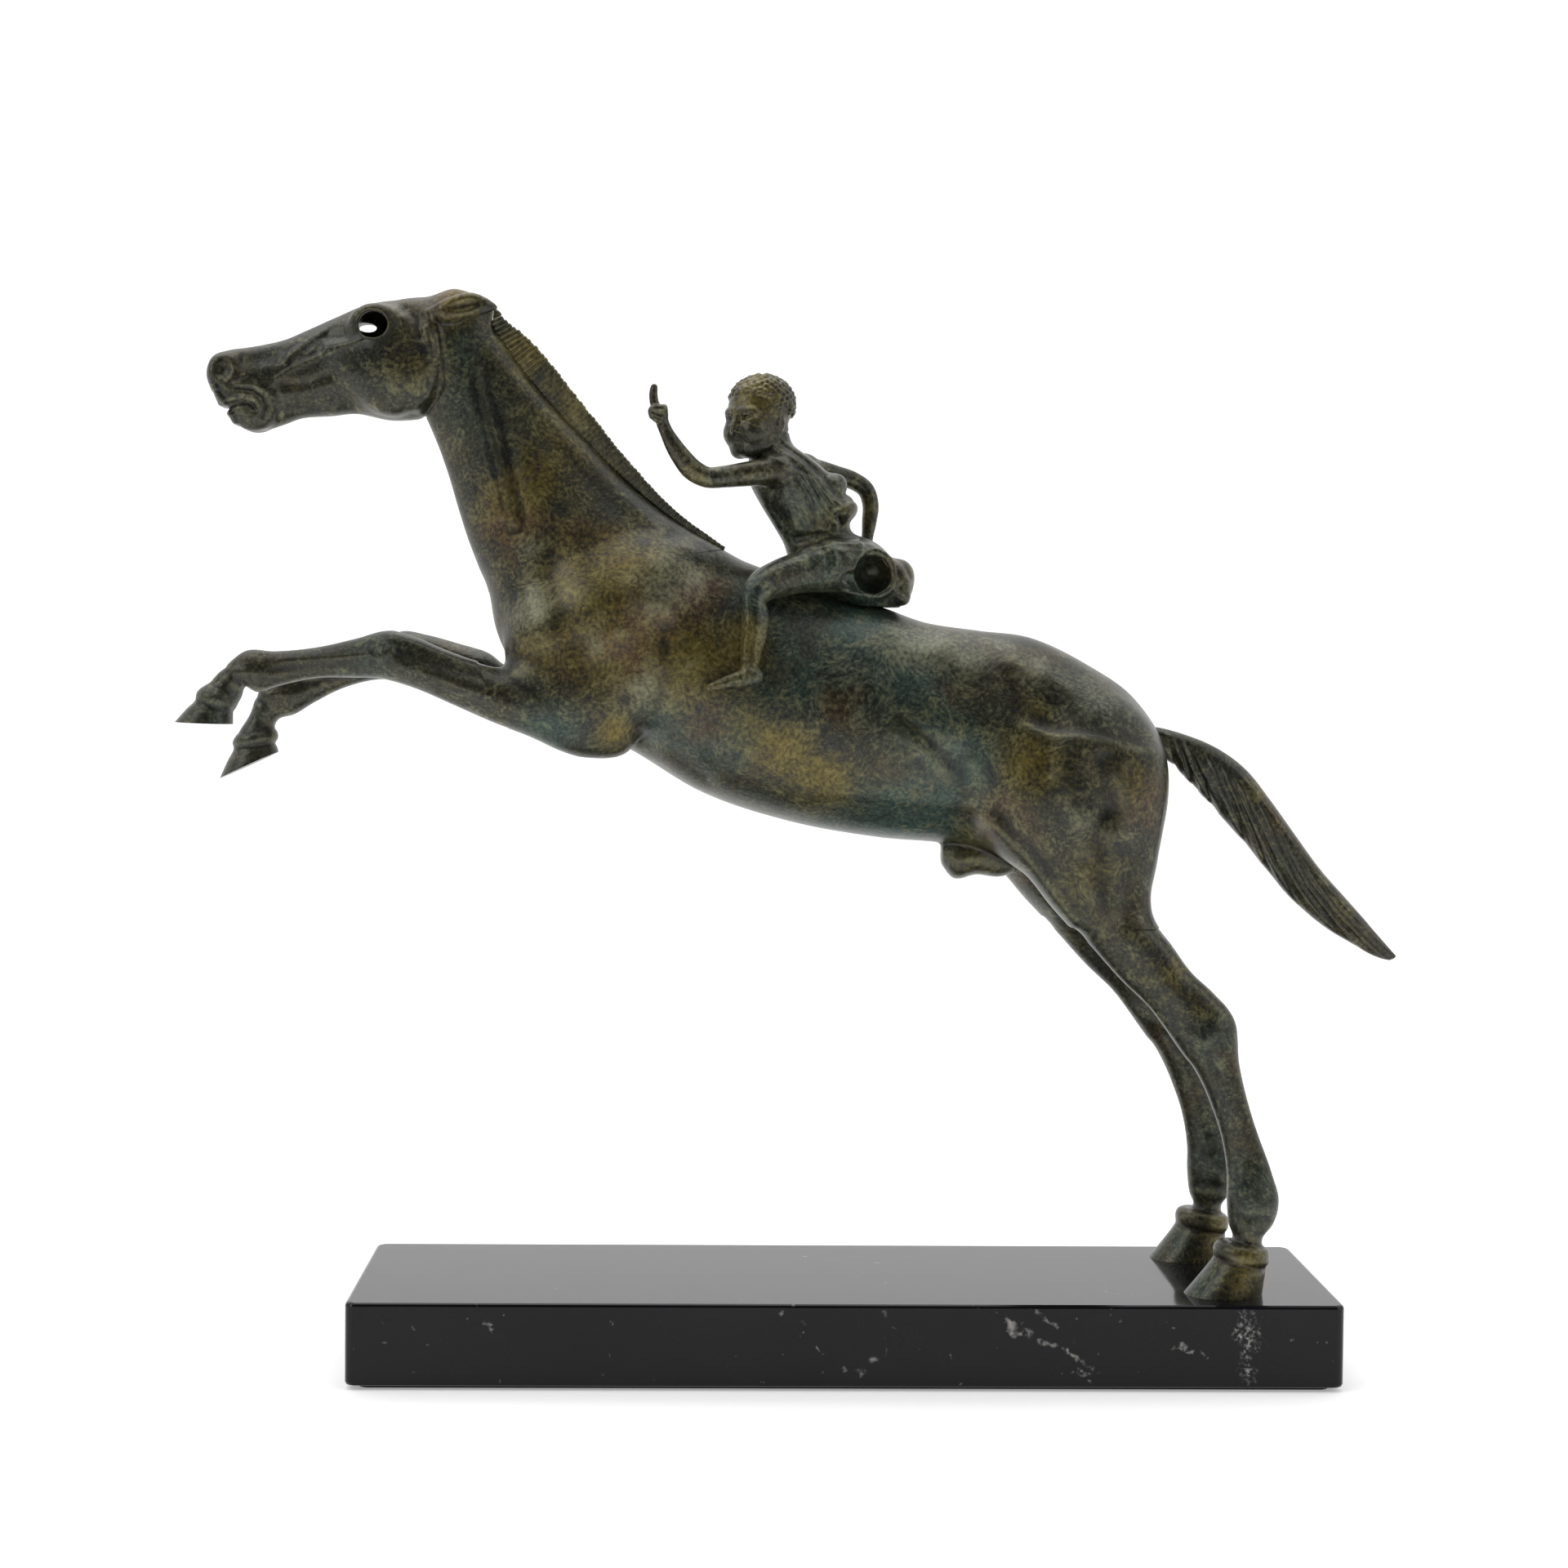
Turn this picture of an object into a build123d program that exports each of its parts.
"""Bronze horse leaping off its hind hooves, ridden by a boy, on a marble plinth.

The statue is cast in sections, as a foundry does: the trunk, neck and head of the horse are hollow and the
limbs, tail and rider are solid. The sections meet on flat joint faces and are held by dowels. Two studs run
from the hind hooves down through the plinth to nuts in counterbores, and a felt pad covers the underside.

Frame: +Z up, the horse faces -X, its left side is -Y. The origin is the centre of the felt's underside.
"""

import os

from build123d import *

# Plinth and felt
plinth_length = 240.0
plinth_depth = 70.0
plinth_thickness = 20.0
plinth_corner_radius = 2.5
plinth_edge_chamfer = 0.8
felt_thickness = 1.0
felt_inset = 3.0

# Statue: nose to tail tip, and how far its left hind stud stands from the plinth's back end
statue_length = 302.1
hoof_setback = 24.0
wall = 3.6
eye_width = 6.6
eye_height = 5.8
mane_thickness = 3.4
rider_head_turn = 35.0

# Fixings
stud_diameter = 4.0
stud_in_hoof = 9.0
stud_past_nut = 0.8
stud_hole_clearance = 0.5
thread_clearance = 0.05
socket_clearance = 2.0
counterbore_depth = 8.0
washer_diameter = 9.0
washer_thickness = 0.8
washer_clearance = 0.3
nut_across_flats = 7.0
nut_thickness = 3.2
dowel_diameter = 3.0
dowel_length = 12.0
dowel_clearance = 0.05
core_hole_diameter = 7.0
tail_spigot_diameter = 4.0
tail_spigot_length = 7.0

# Side elevation the outlines below are taken from: its length, its floor line and its left hind stud
drawn_length = 302.1
drawn_floor = 21.0
drawn_stud_x = 96.0
drawn_stud_y = 21.0

scale = statue_length / drawn_length
plinth_top = felt_thickness + plinth_thickness
stud_x = plinth_length / 2 - hoof_setback
seat_height = felt_thickness + counterbore_depth
stud_bottom = seat_height - washer_thickness - nut_thickness - stud_past_nut

# Each row is one section across a limb: a point on its upper or front outline, the point facing it on its
# lower or back outline, the section's width, and how far its centre lies to the right of the middle plane.
HEAD = [
    ((-157.8, 247.0), (-157.4, 241.5), 5.5, 0),
    ((-155.5, 249.2), (-155.0, 238.0), 9.5, 0),
    ((-150.5, 250.4), (-150.0, 232.0), 11.5, 0),
    ((-144.5, 251.5), (-144.0, 231.0), 12.0, 0),
    ((-138.0, 253.3), (-138.0, 233.6), 12.5, 0),
    ((-130.0, 257.0), (-130.0, 234.3), 15.0, 0),
    ((-121.0, 261.0), (-121.0, 234.6), 19.0, 0),
    ((-112.5, 262.8), (-112.0, 233.2), 20.0, 0),
    ((-104.0, 263.6), (-107.0, 233.6), 18.0, 0),
    ((-94.0, 261.5), (-105.5, 233.8), 16.0, 0),
    ((-87.0, 256.0), (-104.3, 233.8), 15.0, 0),
]
NECK = [
    ((-87.0, 256.0), (-104.3, 233.8), 15.0, 0),
    ((-80.3, 245.2), (-101.5, 228.0), 16.0, 0),
    ((-73.3, 236.6), (-99.3, 220.5), 18.0, 0),
    ((-65.4, 228.0), (-97.0, 212.5), 20.5, 0),
    ((-56.2, 218.8), (-94.5, 205.0), 24.0, 0),
    ((-45.0, 209.8), (-92.0, 198.5), 29.0, 0),
    ((-31.0, 202.2), (-89.0, 191.0), 35.0, 0),
]
TRUNK = [
    ((-31.0, 202.2), (-89.0, 191.0), 35.0, 0),
    ((-26.0, 199.7), (-87.3, 180.0), 38.0, 0),
    ((-21.0, 197.5), (-80.0, 168.0), 40.0, 0),
    ((-15.0, 195.0), (-66.0, 156.0), 41.5, 0),
    ((-8.0, 192.2), (-48.0, 147.0), 42.5, 0),
    ((1.0, 189.8), (-26.0, 138.0), 43.5, 0),
    ((11.0, 187.8), (-3.0, 132.5), 43.0, 0),
    ((22.0, 184.3), (15.0, 130.3), 42.0, 0),
    ((35.0, 182.6), (32.0, 128.0), 40.5, 0),
    ((48.0, 179.8), (47.0, 126.5), 40.0, 0),
    ((60.0, 174.3), (60.0, 126.5), 38.0, 0),
    ((70.0, 167.5), (70.0, 128.0), 33.0, 0),
    ((76.5, 161.3), (76.5, 132.0), 25.0, 0),
    ((79.5, 154.0), (79.5, 140.0), 12.0, 0),
]
NEAR_HIND = [
    ((38.0, 158.0), (76.0, 152.0), 12.0, -12.5),
    ((37.0, 146.0), (78.8, 142.0), 15.5, -13.5),
    ((38.5, 133.0), (77.6, 130.0), 17.5, -14.0),
    ((46.0, 122.5), (75.5, 119.0), 17.0, -14.8),
    ((56.0, 110.0), (76.5, 110.5), 15.0, -15.8),
    ((66.0, 99.0), (81.5, 102.5), 11.5, -16.8),
    ((75.0, 89.5), (89.0, 94.8), 9.5, -17.8),
    ((80.5, 83.0), (95.0, 88.8), 9.5, -18.4),
    ((85.0, 77.5), (96.0, 81.0), 8.8, -18.8),
    ((89.0, 71.0), (97.3, 73.0), 7.6, -19.2),
    ((92.0, 62.0), (100.3, 62.8), 6.8, -19.8),
    ((93.6, 51.0), (104.0, 51.8), 6.8, -20.3),
    ((93.7, 43.5), (106.2, 43.0), 8.0, -20.6),
    ((94.3, 38.5), (104.6, 38.0), 8.0, -20.8),
    ((94.8, 35.5), (102.3, 35.0), 7.2, -21.0),
    ((91.0, 33.5), (103.4, 31.5), 10.5, -21.0),
    ((90.0, 31.0), (103.2, 29.0), 11.0, -21.0),
]
NEAR_HIND_HOOF = [
    ((90.4, 31.8), (102.8, 29.8), 10.4, -21.0),
    ((82.6, 21.0), (102.6, 21.0), 14.5, -21.0),
]
NEAR_FORE = [
    ((-66.0, 184.0), (-46.0, 160.0), 12.0, -11.5),
    ((-78.0, 180.0), (-55.0, 152.0), 14.0, -12.5),
    ((-85.5, 175.3), (-68.0, 151.6), 14.0, -13.0),
    ((-91.5, 175.6), (-82.5, 156.6), 13.0, -13.0),
    ((-98.0, 177.9), (-93.5, 160.8), 12.0, -13.0),
    ((-104.5, 180.2), (-102.0, 165.4), 11.0, -13.0),
    ((-111.0, 181.3), (-110.0, 168.4), 11.0, -13.0),
    ((-117.0, 180.2), (-117.5, 169.3), 10.0, -13.0),
    ((-123.5, 178.0), (-124.0, 169.3), 8.5, -13.0),
    ((-132.0, 176.6), (-131.5, 169.0), 7.4, -13.0),
    ((-140.5, 176.1), (-139.5, 167.6), 7.4, -13.0),
    ((-147.0, 175.9), (-144.3, 166.4), 8.0, -13.0),
    ((-151.5, 172.3), (-147.3, 166.4), 7.4, -13.0),
    ((-156.0, 168.7), (-149.0, 163.8), 8.4, -13.0),
    ((-158.6, 165.6), (-149.6, 162.8), 9.6, -13.0),
]
NEAR_FORE_HOOF = [
    ((-158.0, 166.2), (-149.4, 163.4), 9.0, -13.0),
    ((-163.8, 159.0), (-150.2, 158.2), 12.0, -13.0),
]
FAR_FORE = NEAR_FORE[:6] + [
    ((-111.0, 180.6), (-109.5, 167.9), 11.0, -13.0),
    ((-117.5, 179.0), (-115.5, 168.6), 10.0, -13.0),
    ((-124.0, 176.0), (-121.5, 168.0), 8.5, -13.0),
    ((-132.5, 172.8), (-129.0, 165.4), 7.4, -13.0),
    ((-140.5, 169.4), (-135.3, 161.9), 7.4, -13.0),
    ((-146.8, 165.8), (-139.8, 159.1), 8.0, -13.0),
    ((-149.3, 161.0), (-144.2, 157.8), 7.4, -13.0),
    ((-152.8, 156.2), (-143.8, 155.6), 8.6, -13.0),
    ((-154.2, 153.3), (-143.6, 154.2), 9.8, -13.0),
]
FAR_FORE_HOOF = [
    ((-153.8, 154.1), (-143.8, 154.8), 9.2, -13.0),
    ((-157.4, 144.2), (-142.8, 150.6), 12.0, -13.0),
]
TAIL = [
    ((74.5, 158.6), (76.0, 151.4), 5.5, 0),
    ((80.0, 158.4), (80.6, 150.4), 6.0, 0),
    ((86.0, 156.8), (84.0, 147.8), 6.5, 0),
    ((93.5, 153.2), (89.5, 142.2), 7.5, 0),
    ((100.5, 148.0), (95.0, 136.3), 8.5, 0),
    ((106.5, 141.3), (100.5, 130.3), 9.0, 0),
    ((112.5, 133.2), (106.0, 124.0), 9.0, 0),
    ((119.0, 124.3), (112.5, 116.6), 8.0, 0),
    ((126.0, 115.9), (120.5, 110.0), 6.5, 0),
    ((132.5, 108.8), (128.5, 105.1), 5.0, 0),
    ((136.8, 104.0), (134.8, 102.0), 3.0, 0),
    ((138.3, 102.4), (137.4, 101.2), 1.6, 0),
]
EAR = [
    ((-104.5, 262.5), (-103.5, 258.5), 2.5, -5.0),
    ((-101.0, 264.6), (-99.5, 258.2), 4.0, -6.0),
    ((-96.5, 265.2), (-96.0, 258.2), 4.0, -6.8),
    ((-92.0, 263.2), (-92.8, 258.8), 3.2, -7.2),
    ((-88.8, 261.0), (-89.5, 259.4), 1.6, -7.2),
]
SHEATH = [
    ((24.0, 131.0), (24.8, 124.0), 7.0, 0),
    ((27.5, 131.0), (28.0, 121.2), 9.5, 0),
    ((36.0, 131.0), (36.5, 121.5), 9.5, 0),
    ((43.0, 131.0), (43.0, 123.0), 5.0, 0),
]
CREST_OUTER = [(-88, 261), (-80, 252.2), (-70, 240.5), (-60, 228), (-50, 216.4), (-44, 210.6)]
CREST_INNER = [(-46, 207.5), (-56, 216.5), (-67, 227.5), (-79, 241.5), (-88, 254)]
MOUTH = [
    (-160, 237.4),
    (-155, 236.9),
    (-149, 239.3),
    (-145.5, 238.8),
    (-149, 236.6),
    (-152.5, 234.4),
    (-160, 232.6),
]

RIDER_TORSO = [
    ((-24.2, 227.0), (-16.2, 229.8), 7.5, 0),
    ((-25.0, 223.8), (-11.5, 227.2), 14.0, 0),
    ((-25.0, 218.5), (-5.5, 221.5), 18.5, 0),
    ((-21.8, 213.0), (-0.5, 215.5), 17.0, 0),
    ((-18.3, 208.0), (1.3, 210.0), 14.5, 0),
    ((-15.8, 203.5), (3.0, 205.5), 14.5, 0),
    ((-14.0, 199.0), (9.5, 201.5), 17.5, 0),
    ((-11.0, 195.5), (15.0, 196.6), 19.5, 0),
    ((-7.0, 192.8), (16.2, 192.4), 18.5, 0),
    ((0.0, 189.6), (12.5, 189.0), 12.0, 0),
]
RIDER_NECK = [
    ((-25.8, 222.5), (-14.5, 225.5), 9.0, 0),
    ((-26.0, 228.5), (-16.0, 231.0), 8.4, 0),
]
RIDER_HEAD = [
    ((-28.8, 226.6), (-23.5, 226.8), 5.5, 0),
    ((-30.0, 229.2), (-18.5, 229.2), 10.0, 0),
    ((-30.5, 233.0), (-15.0, 233.0), 12.8, 0),
    ((-30.9, 237.0), (-13.8, 237.0), 14.2, 0),
    ((-30.8, 240.5), (-13.9, 240.5), 14.2, 0),
    ((-28.8, 243.8), (-16.0, 243.8), 11.0, 0),
    ((-26.0, 245.5), (-19.0, 245.5), 6.0, 0),
]
RIDER_NOSE = [
    ((-31.6, 236.2), (-28.0, 236.2), 1.0, 0),
    ((-32.9, 232.9), (-28.0, 232.9), 2.4, 0),
    ((-31.0, 232.1), (-28.0, 232.1), 2.0, 0),
]
RIDER_LEFT_ARM = [
    ((-17.0, 224.5), (-16.0, 218.0), 6.0, -6.5),
    ((-24.5, 223.6), (-24.3, 217.3), 5.8, -9.5),
    ((-30.0, 222.8), (-30.0, 217.0), 5.4, -11.0),
    ((-34.8, 221.4), (-36.5, 217.0), 5.2, -12.0),
    ((-38.6, 223.6), (-41.3, 219.8), 5.0, -12.6),
    ((-41.6, 226.8), (-44.9, 224.9), 4.6, -13.0),
    ((-43.8, 230.4), (-47.0, 229.6), 3.8, -13.2),
    ((-44.4, 233.0), (-48.0, 232.4), 3.6, -13.2),
    ((-44.4, 235.5), (-49.0, 235.2), 4.4, -13.2),
    ((-45.9, 237.6), (-48.8, 237.7), 3.0, -13.0),
    ((-46.9, 240.2), (-49.2, 240.4), 2.2, -12.8),
    ((-47.8, 241.8), (-49.0, 241.9), 1.2, -12.8),
]
RIDER_RIGHT_ARM = [
    ((-14.0, 226.4), (-13.0, 219.5), 6.0, -6.0),
    ((-8.0, 225.6), (-7.0, 219.6), 5.4, -9.0),
    ((-2.0, 224.3), (-1.5, 219.4), 5.0, -11.0),
    ((4.5, 222.8), (2.8, 218.5), 4.8, -12.5),
    ((8.4, 218.8), (4.4, 216.3), 4.4, -12.5),
    ((8.8, 213.0), (4.8, 212.6), 4.0, -11.5),
    ((7.8, 207.5), (4.9, 207.2), 3.4, -10.0),
    ((7.0, 203.4), (4.2, 203.2), 3.6, -9.0),
    ((6.4, 200.2), (3.6, 200.2), 3.0, -8.5),
]
RIDER_LEG = [
    ((-6.0, 203.5), (-2.0, 192.5), 8.0, -7.0),
    ((-13.5, 201.0), (-9.5, 191.4), 8.8, -10.5),
    ((-19.0, 198.6), (-15.3, 190.8), 8.0, -14.5),
    ((-23.6, 195.8), (-19.0, 189.8), 7.4, -18.0),
    ((-26.2, 192.6), (-20.0, 187.6), 6.6, -20.8),
    ((-26.4, 187.0), (-20.1, 184.8), 5.8, -22.0),
    ((-26.8, 180.0), (-21.1, 179.5), 5.0, -23.2),
    ((-27.1, 174.5), (-22.4, 173.8), 4.0, -24.0),
    ((-28.6, 172.0), (-22.3, 170.2), 4.0, -24.2),
    ((-31.2, 169.9), (-29.0, 167.9), 3.8, -24.0),
    ((-33.8, 168.7), (-33.3, 167.5), 3.0, -23.6),
]
far_hind_shift = -2.0
far_hind_lean = -0.03
haunch_rows = 5
shoulder_rows = 4


def place(x, y, z):
    """A point of the side elevation, y to the right of the middle plane, in the model's frame."""
    return Vector(stud_x + (x - drawn_stud_x) * scale, y * scale, plinth_top + (z - drawn_floor) * scale)


def elevation_point(x, z):
    """The same point in the middle plane, as a sketch on it takes it."""
    point = place(x, 0, z)
    return (point.X, point.Z)


def on_right(row):
    """The same section on the horse's right."""
    return row[:3] + (-row[3],)


def leaned(rows):
    """The hind limb set a little further forward, the more so the higher it is."""
    return [
        tuple((x + far_hind_shift + far_hind_lean * (z - drawn_floor), z) for x, z in row[:2]) + row[2:]
        for row in rows
    ]


def section_plane(row):
    """The plane of one row, centred on its oval, x along the row and z along the limb."""
    front, back, width, y = row
    a = place(front[0], y, front[1])
    b = place(back[0], y, back[1])
    across = b - a
    return Plane(origin=(a + b) / 2, x_dir=across, z_dir=across.cross(Vector(0, 1, 0)))


def section(row, shrink=0.0):
    """The oval face of one row, in four quarter arcs, drawn in from the outline by shrink all round."""
    a = place(row[0][0], 0, row[0][1])
    b = place(row[1][0], 0, row[1][1])
    half_height = (b - a).length / 2 - shrink
    half_width = row[2] * scale / 2 - shrink
    with BuildSketch(section_plane(row)) as oval:
        with BuildLine():
            for quarter in range(4):
                EllipticalCenterArc((0, 0), half_height, half_width, 90 * quarter, arc_size=90)
        make_face()
    return oval.sketch


def lofted(rows, shrink=0.0, straight=False):
    """A solid through all its sections, smooth, or straight from each to the next."""
    with BuildPart() as solid:
        loft([section(row, shrink) for row in rows], ruled=straight)
    return solid.part


def jointed(rows):
    """A thin limb that bends sharply, made of short straight lengths from each section to the next."""
    with BuildPart() as solid:
        for start in range(len(rows) - 1):
            loft([section(row) for row in rows[start : start + 2]])
    return solid.part


def right_side(solid):
    """The same solid on the horse's right."""
    return mirror(solid, about=Plane.XZ)


# Dowels cross the joint faces: two in the neck's and two in the head's, one in each limb's, one in the seat
neck_joint = section_plane(TRUNK[0])
head_joint = section_plane(NECK[0])
limb_joints = [
    section_plane(NEAR_HIND[haunch_rows - 1]),
    section_plane(on_right(leaned(NEAR_HIND)[haunch_rows - 1])),
    section_plane(NEAR_FORE[shoulder_rows - 1]),
    section_plane(on_right(FAR_FORE[shoulder_rows - 1])),
]
seat_joint = Plane(origin=place(3.5, 0, 190.5), x_dir=(1, 0, 0), z_dir=(0.22, 0, 1))
tail_root = Plane(origin=place(80.0, 0, 155.0), x_dir=(0, 1, 0), z_dir=(1, 0, 0.14))
neck_dowel_offset = 18.0 * scale
head_dowel_offset = 9.5 * scale
dowel_places = [neck_joint * Location((offset, 0, 0)) for offset in (-neck_dowel_offset, neck_dowel_offset)]
dowel_places += [head_joint * Location((offset, 0, 0)) for offset in (-head_dowel_offset, head_dowel_offset)]
dowel_places += [plane.location for plane in limb_joints]
dowel_places += [seat_joint.location]


def dowel_holes():
    """The holes every joined casting is bored with, at the dowels' places."""
    with BuildPart() as bores:
        with Locations(*dowel_places):
            Cylinder(dowel_diameter / 2 + dowel_clearance, dowel_length + 2 * dowel_clearance)
    return bores.part


holes = dowel_holes()
with BuildPart() as tail_bore_tool:
    with Locations(tail_root.offset(-tail_spigot_length / 2)):
        Cylinder(tail_spigot_diameter / 2 + dowel_clearance, tail_spigot_length + 2 * dowel_clearance)
tail_bore = tail_bore_tool.part

# Studs run up into the hind hooves
stud_places = [
    (stud_x, -drawn_stud_y * scale, 0),
    (stud_x + far_hind_shift * scale, drawn_stud_y * scale, 0),
]
with BuildPart() as stud_bore_tool:
    with Locations(*stud_places):
        Cylinder(
            stud_diameter / 2 + thread_clearance,
            plinth_top + stud_in_hoof,
            align=(Align.CENTER, Align.CENTER, Align.MIN),
        )
stud_bores = stud_bore_tool.part

# Trunk: the barrel with the haunches and shoulders, down to the joint faces of the limbs
with BuildPart() as trunk:
    add(lofted(TRUNK))
    add(lofted(NEAR_HIND[:haunch_rows], straight=True))
    add(right_side(lofted(leaned(NEAR_HIND)[:haunch_rows], straight=True)))
    add(lofted(NEAR_FORE[:shoulder_rows], straight=True))
    add(right_side(lofted(FAR_FORE[:shoulder_rows], straight=True)))
    add(lofted(SHEATH))
    add(lofted(TRUNK[2:11], wall), mode=Mode.SUBTRACT)
    with Locations(neck_joint):
        Cylinder(core_hole_diameter / 2, 40 * scale, mode=Mode.SUBTRACT)
    add(tail_bore, mode=Mode.SUBTRACT)
    add(holes, mode=Mode.SUBTRACT)

# Neck: hollow, with a web at each joint and a core hole through both webs
with BuildPart() as neck:
    add(lofted(NECK))
    add(lofted(NECK[1:6], wall), mode=Mode.SUBTRACT)
    with Locations(neck_joint, head_joint):
        Cylinder(core_hole_diameter / 2, 30 * scale, mode=Mode.SUBTRACT)
    add(holes, mode=Mode.SUBTRACT)

# Head: hollow, the eyes open right through, the mouth open, the ears laid back
with BuildPart() as head:
    add(lofted(HEAD))
    add(lofted(EAR))
    add(right_side(lofted(EAR)))
    add(lofted(HEAD[5:10], wall), mode=Mode.SUBTRACT)
    with Locations(head_joint):
        Cylinder(core_hole_diameter / 2, 24 * scale, mode=Mode.SUBTRACT)
    with BuildSketch(Plane(origin=place(-117.5, 0, 257.0), x_dir=(1, 0, 0), z_dir=(0, -1, 0))):
        Ellipse(eye_width / 2, eye_height / 2)
    extrude(amount=20 * scale, both=True, mode=Mode.SUBTRACT)
    for side in (-1, 1):
        nostril_plane = Plane(origin=place(-155.0, 3.2 * side, 246.3), x_dir=(1, 0, 0), z_dir=(0, side, 0))
        with BuildSketch(nostril_plane):
            Ellipse(1.9 * scale, 1.3 * scale)
        extrude(amount=10 * scale, mode=Mode.SUBTRACT)
    with BuildSketch(Plane.XZ):
        with BuildLine():
            Polyline(*[elevation_point(x, z) for x, z in MOUTH], close=True)
        make_face()
    extrude(amount=20 * scale, both=True, mode=Mode.SUBTRACT)
    add(holes, mode=Mode.SUBTRACT)

# Mane: one comb from the poll to the withers, fitted down onto the neck and head
with BuildPart() as mane:
    with BuildSketch(Plane.XZ):
        with BuildLine():
            outer = Spline(*[elevation_point(x, z) for x, z in CREST_OUTER])
            inner = Spline(*[elevation_point(x, z) for x, z in CREST_INNER])
            Line(outer @ 1, inner @ 0)
            Line(inner @ 1, outer @ 0)
        make_face()
    extrude(amount=mane_thickness * scale / 2, both=True)
    add(neck.part, mode=Mode.SUBTRACT)
    add(head.part, mode=Mode.SUBTRACT)
    add(trunk.part, mode=Mode.SUBTRACT)
    add(holes, mode=Mode.SUBTRACT)
    add(mane.solids().sort_by(SortBy.VOLUME)[-1], mode=Mode.REPLACE)

# Forelegs and hind legs: solid, from the joint face down to the hoof
with BuildPart() as near_foreleg:
    add(lofted(NEAR_FORE[shoulder_rows - 1 :], straight=True))
    add(lofted(NEAR_FORE_HOOF))
    add(holes, mode=Mode.SUBTRACT)

with BuildPart() as off_foreleg:
    add(right_side(lofted(FAR_FORE[shoulder_rows - 1 :], straight=True)))
    add(right_side(lofted(FAR_FORE_HOOF)))
    add(holes, mode=Mode.SUBTRACT)

with BuildPart() as near_hind_leg:
    add(lofted(NEAR_HIND[haunch_rows - 1 :], straight=True))
    add(lofted(NEAR_HIND_HOOF))
    add(holes, mode=Mode.SUBTRACT)
    add(stud_bores, mode=Mode.SUBTRACT)

with BuildPart() as off_hind_leg:
    add(right_side(lofted(leaned(NEAR_HIND)[haunch_rows - 1 :], straight=True)))
    add(right_side(lofted(leaned(NEAR_HIND_HOOF))))
    add(holes, mode=Mode.SUBTRACT)
    add(stud_bores, mode=Mode.SUBTRACT)

# Tail: solid, streaming out behind, with a spigot into the rump
with BuildPart() as tail:
    add(lofted(TAIL))
    add(trunk.part, mode=Mode.SUBTRACT)
    add(tail_bore, mode=Mode.SUBTRACT)
    with Locations(tail_root.offset(-tail_spigot_length / 2 + 1.5)):
        Cylinder(tail_spigot_diameter / 2, tail_spigot_length + 3.0)

# Rider: torso in a short tunic, head, arms and legs, all solid
with BuildPart() as rider_torso:
    add(lofted(RIDER_TORSO))
    with BuildSketch(Plane(origin=place(5.6, -5.5, 197.0), x_dir=(1, 0, 0), z_dir=(0, -1, 0))):
        Ellipse(4.6 * scale, 3.6 * scale)
    extrude(amount=12 * scale, mode=Mode.SUBTRACT)
    add(trunk.part, mode=Mode.SUBTRACT)
    add(holes, mode=Mode.SUBTRACT)

with BuildPart() as face_forward:
    add(lofted(RIDER_HEAD))
    add(lofted(RIDER_NOSE))
    with Locations(place(-22.5, -6.9, 235.5), place(-22.5, 6.9, 235.5)):
        Sphere(1.5 * scale)

with BuildPart() as rider_head:
    add(face_forward.part.rotate(Axis(place(-22.5, 0, 236), (0, 0, 1)), rider_head_turn))
    add(lofted(RIDER_NECK))
    add(rider_torso.part, mode=Mode.SUBTRACT)

with BuildPart() as rider_left_arm:
    add(jointed(RIDER_LEFT_ARM))
    add(rider_torso.part, mode=Mode.SUBTRACT)

with BuildPart() as rider_right_arm:
    add(right_side(jointed(RIDER_RIGHT_ARM)))
    add(rider_torso.part, mode=Mode.SUBTRACT)

with BuildPart() as rider_left_leg:
    add(jointed(RIDER_LEG))
    add(rider_torso.part, mode=Mode.SUBTRACT)
    add(trunk.part, mode=Mode.SUBTRACT)

with BuildPart() as rider_right_leg:
    add(right_side(jointed(RIDER_LEG)))
    add(rider_torso.part, mode=Mode.SUBTRACT)
    add(trunk.part, mode=Mode.SUBTRACT)

# Dowels across the joint faces
with BuildPart() as joint_dowels:
    with Locations(*dowel_places):
        Cylinder(dowel_diameter / 2, dowel_length)

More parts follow.
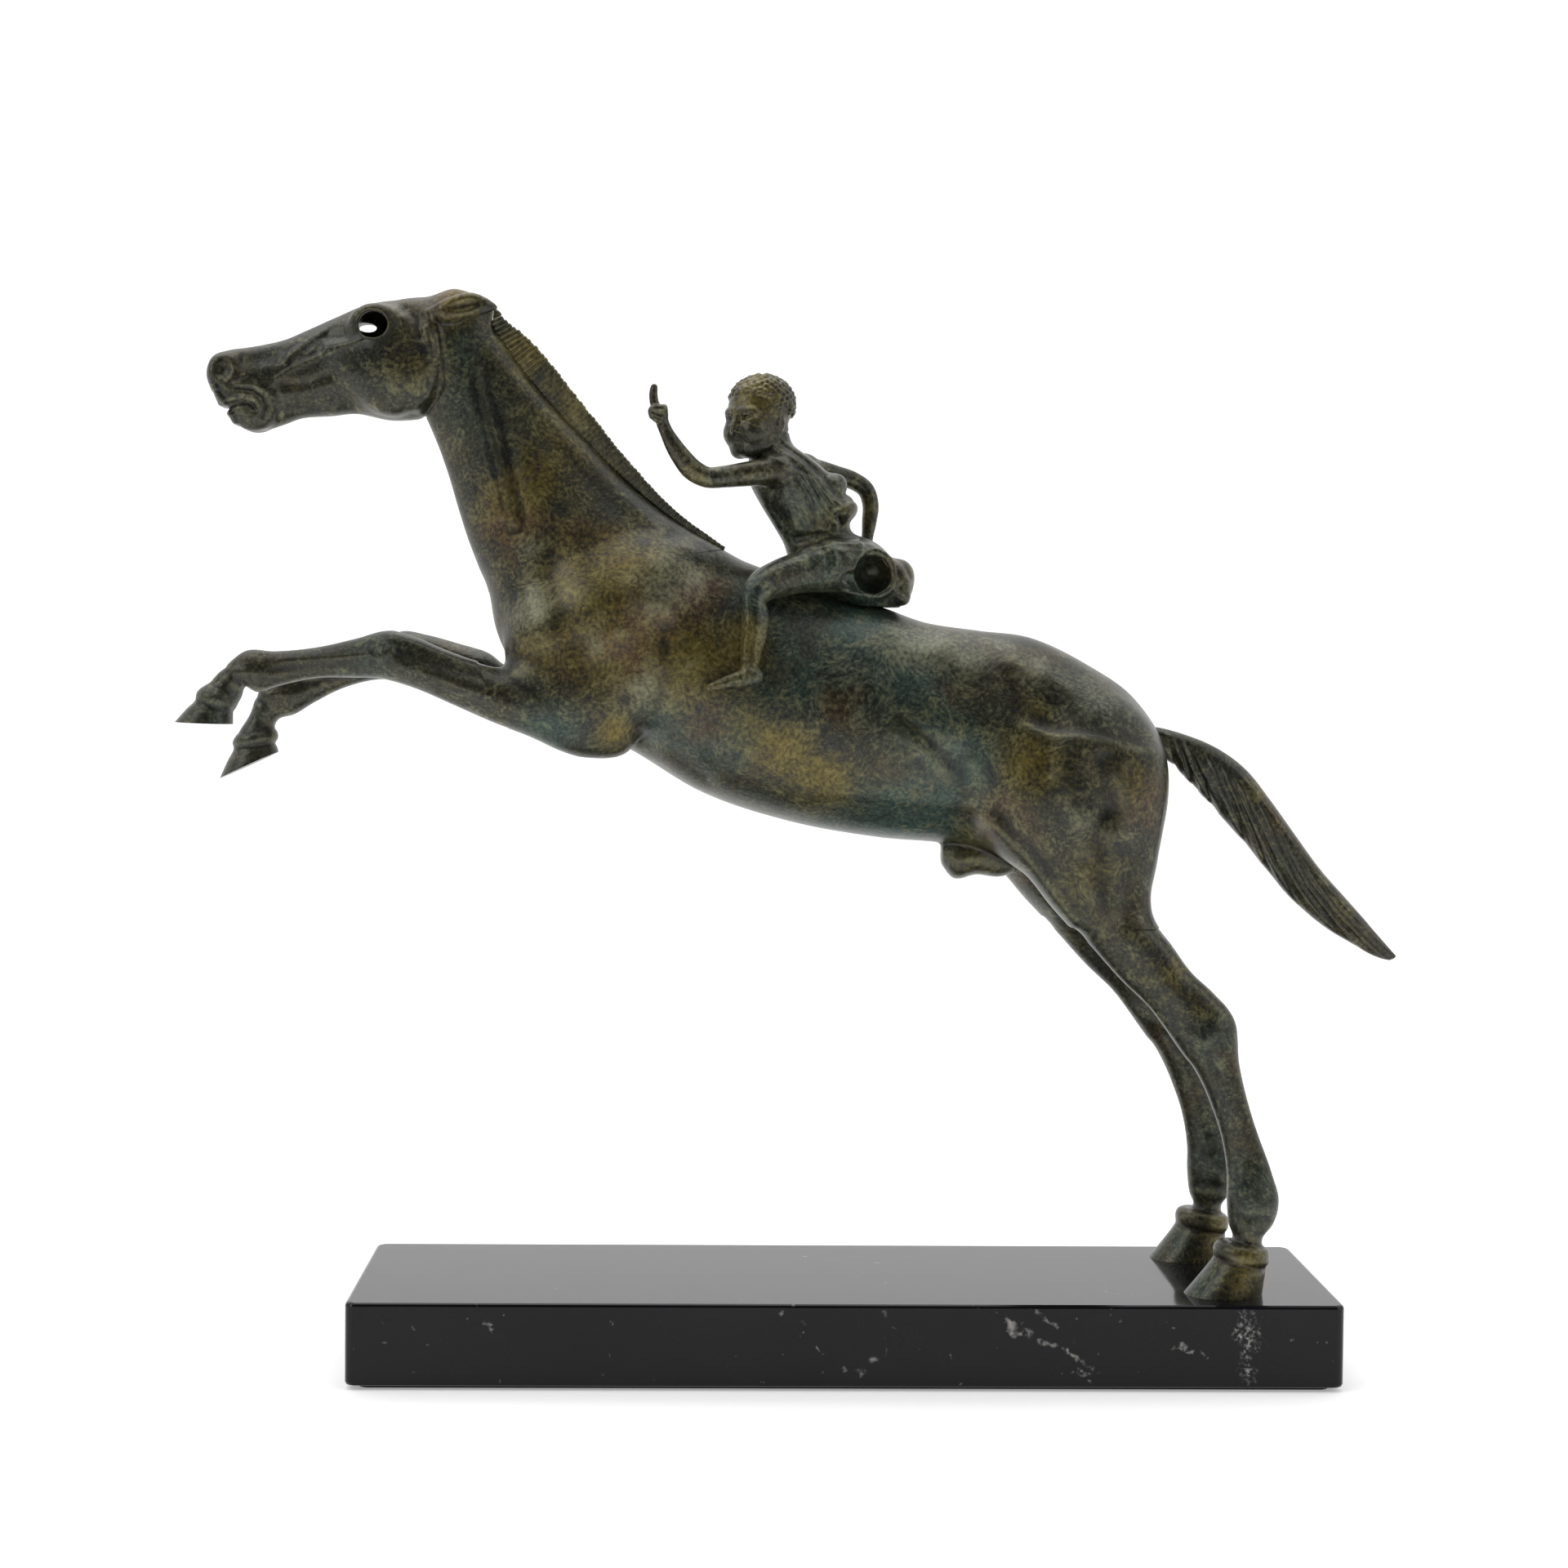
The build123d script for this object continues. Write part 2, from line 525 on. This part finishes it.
# Plinth: a block with rounded corners, bored for the studs and counterbored beneath
with BuildPart() as marble_plinth:
    with BuildSketch(Plane.XY.offset(felt_thickness)):
        RectangleRounded(plinth_length, plinth_depth, plinth_corner_radius)
    extrude(amount=plinth_thickness)
    rims = marble_plinth.faces().sort_by(Axis.Z)
    chamfer(rims[0].edges() + rims[-1].edges(), plinth_edge_chamfer)
    with Locations(*stud_places):
        Cylinder(
            stud_diameter / 2 + stud_hole_clearance / 2,
            4 * plinth_thickness,
            align=(Align.CENTER, Align.CENTER, Align.MIN),
            mode=Mode.SUBTRACT,
        )
        Cylinder(
            washer_diameter / 2 + socket_clearance,
            seat_height,
            align=(Align.CENTER, Align.CENTER, Align.MIN),
            mode=Mode.SUBTRACT,
        )

# Felt: a thin pad glued under the plinth, covering the counterbores
with BuildPart() as felt_pad:
    with BuildSketch():
        RectangleRounded(plinth_length - 2 * felt_inset, plinth_depth - 2 * felt_inset, plinth_corner_radius)
    extrude(amount=felt_thickness)

# Studs, washers and nuts
with BuildPart() as hoof_studs:
    with Locations(*stud_places):
        with Locations((0, 0, stud_bottom)):
            Cylinder(
                stud_diameter / 2,
                plinth_top + stud_in_hoof - stud_bottom,
                align=(Align.CENTER, Align.CENTER, Align.MIN),
            )

with BuildPart() as hoof_washers:
    with BuildSketch(Plane.XY.offset(seat_height - washer_thickness)):
        with Locations(*stud_places):
            Circle(washer_diameter / 2)
            Circle(stud_diameter / 2 + washer_clearance / 2, mode=Mode.SUBTRACT)
    extrude(amount=washer_thickness)

with BuildPart() as hoof_nuts:
    with BuildSketch(Plane.XY.offset(stud_bottom + stud_past_nut)):
        with Locations(*stud_places):
            RegularPolygon(nut_across_flats / 2, 6, major_radius=False)
            Circle(stud_diameter / 2 + thread_clearance, mode=Mode.SUBTRACT)
    extrude(amount=nut_thickness)

castings = {
    "felt_pad": felt_pad.part,
    "marble_plinth": marble_plinth.part,
    "hoof_studs": hoof_studs.part,
    "hoof_washers": hoof_washers.part,
    "hoof_nuts": hoof_nuts.part,
    "horse_trunk": trunk.part,
    "horse_neck": neck.part,
    "horse_head": head.part,
    "mane": mane.part,
    "near_foreleg": near_foreleg.part,
    "off_foreleg": off_foreleg.part,
    "near_hind_leg": near_hind_leg.part,
    "off_hind_leg": off_hind_leg.part,
    "tail": tail.part,
    "joint_dowels": joint_dowels.part,
    "rider_torso": rider_torso.part,
    "rider_head": rider_head.part,
    "rider_left_arm": rider_left_arm.part,
    "rider_right_arm": rider_right_arm.part,
    "rider_left_leg": rider_left_leg.part,
    "rider_right_leg": rider_right_leg.part,
}
os.makedirs("parts", exist_ok=True)
for name, casting in castings.items():
    casting.label = name
    export_step(casting, f"parts/{name}.step")
